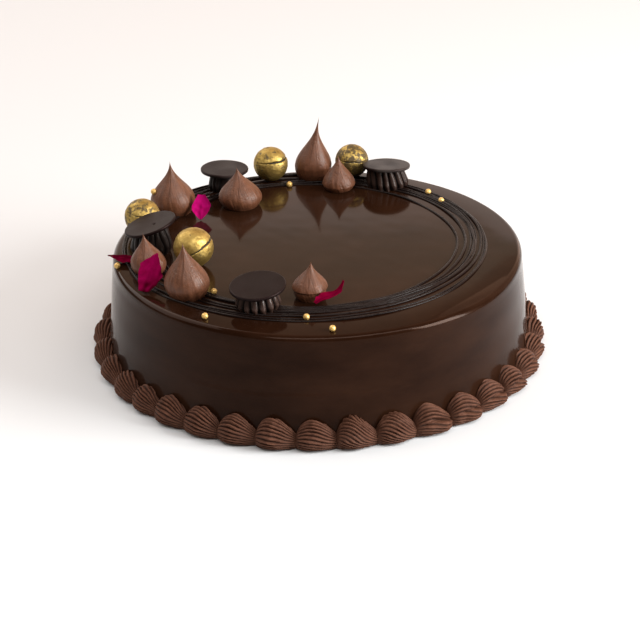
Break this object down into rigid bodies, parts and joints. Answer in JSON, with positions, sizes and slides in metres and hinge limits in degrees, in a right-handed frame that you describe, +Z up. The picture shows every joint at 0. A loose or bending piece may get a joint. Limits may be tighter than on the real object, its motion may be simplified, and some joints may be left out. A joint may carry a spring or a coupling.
{
  "type": "chocolate cake",
  "caption": "Round glazed chocolate cake with a piped shell border and a crescent of piped drops, gold balls, chocolate discs, petals and fine chocolate threads on its top.",
  "frame": {"origin": "centre of the cake's flat underside", "axes": "+Z up through the middle of the cake, -Y towards the front where the crescent of toppings opens to the right"},
  "size_m": [0.2773, 0.2763, 0.107],
  "materials": {
    "glaze": "glossy dark chocolate glaze",
    "icing": "matte piped chocolate buttercream",
    "drop": "satin milk chocolate buttercream",
    "gold": "crinkled gold leaf over dark chocolate",
    "disc": "satin dark chocolate",
    "rosette": "glossy dark chocolate ganache",
    "petal": "velvety magenta petal"
  },
  "bodies": {
    "root": {"cake_body": "glaze", "shell_01": "icing", "shell_02": "icing", "shell_03": "icing", "shell_04": "icing", "shell_05": "icing", "shell_06": "icing", "shell_07": "icing", "shell_08": "icing", "shell_09": "icing", "shell_10": "icing", "shell_11": "icing", "shell_12": "icing", "shell_13": "icing", "shell_14": "icing", "shell_15": "icing", "shell_16": "icing", "shell_17": "icing", "shell_18": "icing", "shell_19": "icing", "shell_20": "icing", "shell_21": "icing", "shell_22": "icing", "shell_23": "icing", "shell_24": "icing", "shell_25": "icing", "shell_26": "icing", "shell_27": "icing", "shell_28": "icing", "shell_29": "icing", "shell_30": "icing", "shell_31": "icing", "shell_32": "icing", "shell_33": "icing", "shell_34": "icing", "shell_35": "icing", "shell_36": "icing", "drop_1": "drop", "drop_2": "drop", "drop_3": "drop", "drop_4": "drop", "drop_5": "drop", "drop_6": "drop", "drop_7": "drop", "gold_ball_1": "gold", "gold_ball_2": "gold", "gold_ball_3": "gold", "gold_ball_4": "gold", "disc_1": "disc", "disc_2": "disc", "disc_3": "disc", "disc_4": "disc", "rosette_1": "rosette", "rosette_2": "rosette", "rosette_3": "rosette", "rosette_4": "rosette", "petal_1": "petal", "petal_2": "petal", "petal_3": "petal", "petal_4": "petal"}
  },
  "joints": []
}
